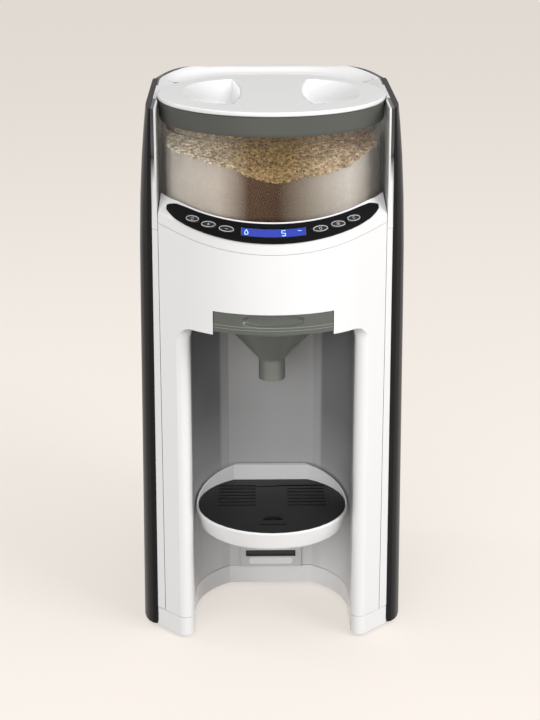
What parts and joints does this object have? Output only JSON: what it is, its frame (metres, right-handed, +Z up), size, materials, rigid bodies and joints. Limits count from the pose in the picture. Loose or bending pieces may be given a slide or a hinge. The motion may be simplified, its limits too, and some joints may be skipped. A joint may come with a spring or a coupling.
{
  "type": "baby formula maker",
  "caption": "Countertop baby formula maker with a clear powder hopper, sloping console, smoked funnel, bottle bay with a slotted drip tray, and a water tank at the rear.",
  "frame": {"origin": "on the table, under the middle of the outline", "axes": "+Z up, the front faces -Y, +X is to the right as seen from the front"},
  "size_m": [0.19, 0.2402, 0.3881],
  "materials": {
    "white_plastic": "glossy",
    "black_gloss": "glossy",
    "ring_grey": "satin",
    "liner_grey": "satin",
    "clear_plastic": "clear",
    "smoke_plastic": "smoked clear",
    "grille_black": "matte",
    "display_blue": "glossy",
    "button_black": "satin",
    "rubber": "matte",
    "steel": "brushed",
    "board_green": "satin",
    "nylon": "satin",
    "silicone": "satin"
  },
  "bodies": {
    "machine": {"base_plate": "white_plastic", "foot_front_left": "rubber", "foot_front_right": "rubber", "foot_rear_left": "rubber", "foot_rear_right": "rubber", "main_housing": "white_plastic", "hopper_surround": "white_plastic", "front_cover": "white_plastic", "control_collar": "white_plastic", "panel_overlay": "black_gloss", "display_window": "display_blue", "bay_liner": "liner_grey", "tray_rail": "white_plastic", "side_casing_right": "black_gloss", "side_casing_left": "black_gloss", "rear_casing": "black_gloss", "tank_seat": "nylon", "shaft_seal": "rubber", "gear_carrier": "ring_grey", "drive_motor": "steel", "dosing_chute": "nylon", "water_heater": "steel", "water_pump": "ring_grey", "inlet_hose": "silicone", "heater_hose": "silicone", "water_nozzle": "nylon", "outlet_hose": "silicone", "main_board": "board_green", "display_board": "board_green", "power_inlet": "rubber"},
    "hopper_body": {"hopper": "clear_plastic"},
    "ring_body": {"lid_ring": "ring_grey", "lid_seal": "silicone"},
    "lid_body": {"hopper_lid": "white_plastic"},
    "stirring_body": {"stirrer": "nylon", "dosing_wheel": "nylon"},
    "drive_body": {"drive_gear": "nylon", "drive_shaft": "steel"},
    "pinion_body": {"motor_pinion": "nylon"},
    "funnel_body": {"funnel": "smoke_plastic", "funnel_cover": "smoke_plastic"},
    "tray": {"tray_body": "white_plastic"},
    "grille": {"tray_grille": "grille_black"},
    "tank": {"water_tank": "smoke_plastic", "tank_valve": "nylon", "hinge_pin": "steel"},
    "tank_cover": {"tank_lid": "white_plastic"},
    "key_1": {"button_1": "button_black"},
    "key_2": {"button_2": "button_black"},
    "key_3": {"button_3": "button_black"},
    "key_4": {"button_4": "button_black"},
    "key_5": {"button_5": "button_black"},
    "key_6": {"button_6": "button_black"}
  },
  "joints": [
    {"name": "hopper_lift", "type": "slide", "parent": "machine", "child": "hopper_body", "axis": [0, 0, 1], "range_m": [0, 0.09]},
    {"name": "ring_lift", "type": "slide", "parent": "hopper_body", "child": "ring_body", "axis": [0, 0, 1], "range_m": [0, 0.05]},
    {"name": "lid_turn", "type": "hinge", "parent": "ring_body", "child": "lid_body", "pos_m": [0, -0.0275, 0.3848], "axis": [0, 0, 1], "range_deg": [0, 35]},
    {"name": "drive_turn", "type": "hinge", "parent": "machine", "child": "drive_body", "pos_m": [0, -0.0275, 0.2813], "axis": [0, 0, 1], "continuous": true},
    {"name": "stirrer_turn", "type": "hinge", "parent": "hopper_body", "child": "stirring_body", "pos_m": [0, -0.0275, 0.3118], "axis": [0, 0, 1], "continuous": true},
    {"name": "pinion_turn", "type": "hinge", "parent": "machine", "child": "pinion_body", "pos_m": [0, -0.0011, 0.2813], "axis": [0, 0, 1], "continuous": true},
    {"name": "funnel_slide", "type": "slide", "parent": "machine", "child": "funnel_body", "axis": [0, -1, 0], "range_m": [0, 0.12]},
    {"name": "tray_height", "type": "slide", "parent": "machine", "child": "tray", "axis": [0, 0, 1], "range_m": [-0.05, 0]},
    {"name": "grille_lift", "type": "slide", "parent": "tray", "child": "grille", "axis": [0, 0, 1], "range_m": [0, 0.03]},
    {"name": "tank_lift", "type": "slide", "parent": "machine", "child": "tank", "axis": [0, 0, 1], "range_m": [0, 0.06]},
    {"name": "tank_lid_swing", "type": "hinge", "parent": "tank", "child": "tank_cover", "pos_m": [0, 0.1153, 0.3812], "axis": [-1, 0, 0], "range_deg": [0, 95]},
    {"name": "key_1_press", "type": "slide", "parent": "machine", "child": "key_1", "axis": [0.4013, 0.5735, -0.7142], "range_m": [0, 0.0008], "stiffness_N_per_m": 400, "springref_m": -0.0005},
    {"name": "key_2_press", "type": "slide", "parent": "machine", "child": "key_2", "axis": [0.3216, 0.6234, -0.7127], "range_m": [0, 0.0008], "stiffness_N_per_m": 400, "springref_m": -0.0005},
    {"name": "key_3_press", "type": "slide", "parent": "machine", "child": "key_3", "axis": [0.2333, 0.6658, -0.7087], "range_m": [0, 0.0008], "stiffness_N_per_m": 400, "springref_m": -0.0005},
    {"name": "key_4_press", "type": "slide", "parent": "machine", "child": "key_4", "axis": [-0.2333, 0.6658, -0.7087], "range_m": [0, 0.0008], "stiffness_N_per_m": 400, "springref_m": -0.0005},
    {"name": "key_5_press", "type": "slide", "parent": "machine", "child": "key_5", "axis": [-0.3216, 0.6234, -0.7127], "range_m": [0, 0.0008], "stiffness_N_per_m": 400, "springref_m": -0.0005},
    {"name": "key_6_press", "type": "slide", "parent": "machine", "child": "key_6", "axis": [-0.4013, 0.5735, -0.7142], "range_m": [0, 0.0008], "stiffness_N_per_m": 400, "springref_m": -0.0005}
  ],
  "couplings": [
    {"joint": "stirrer_turn", "follows": "drive_turn", "ratio": 1},
    {"joint": "pinion_turn", "follows": "drive_turn", "ratio": -2.6667}
  ]
}
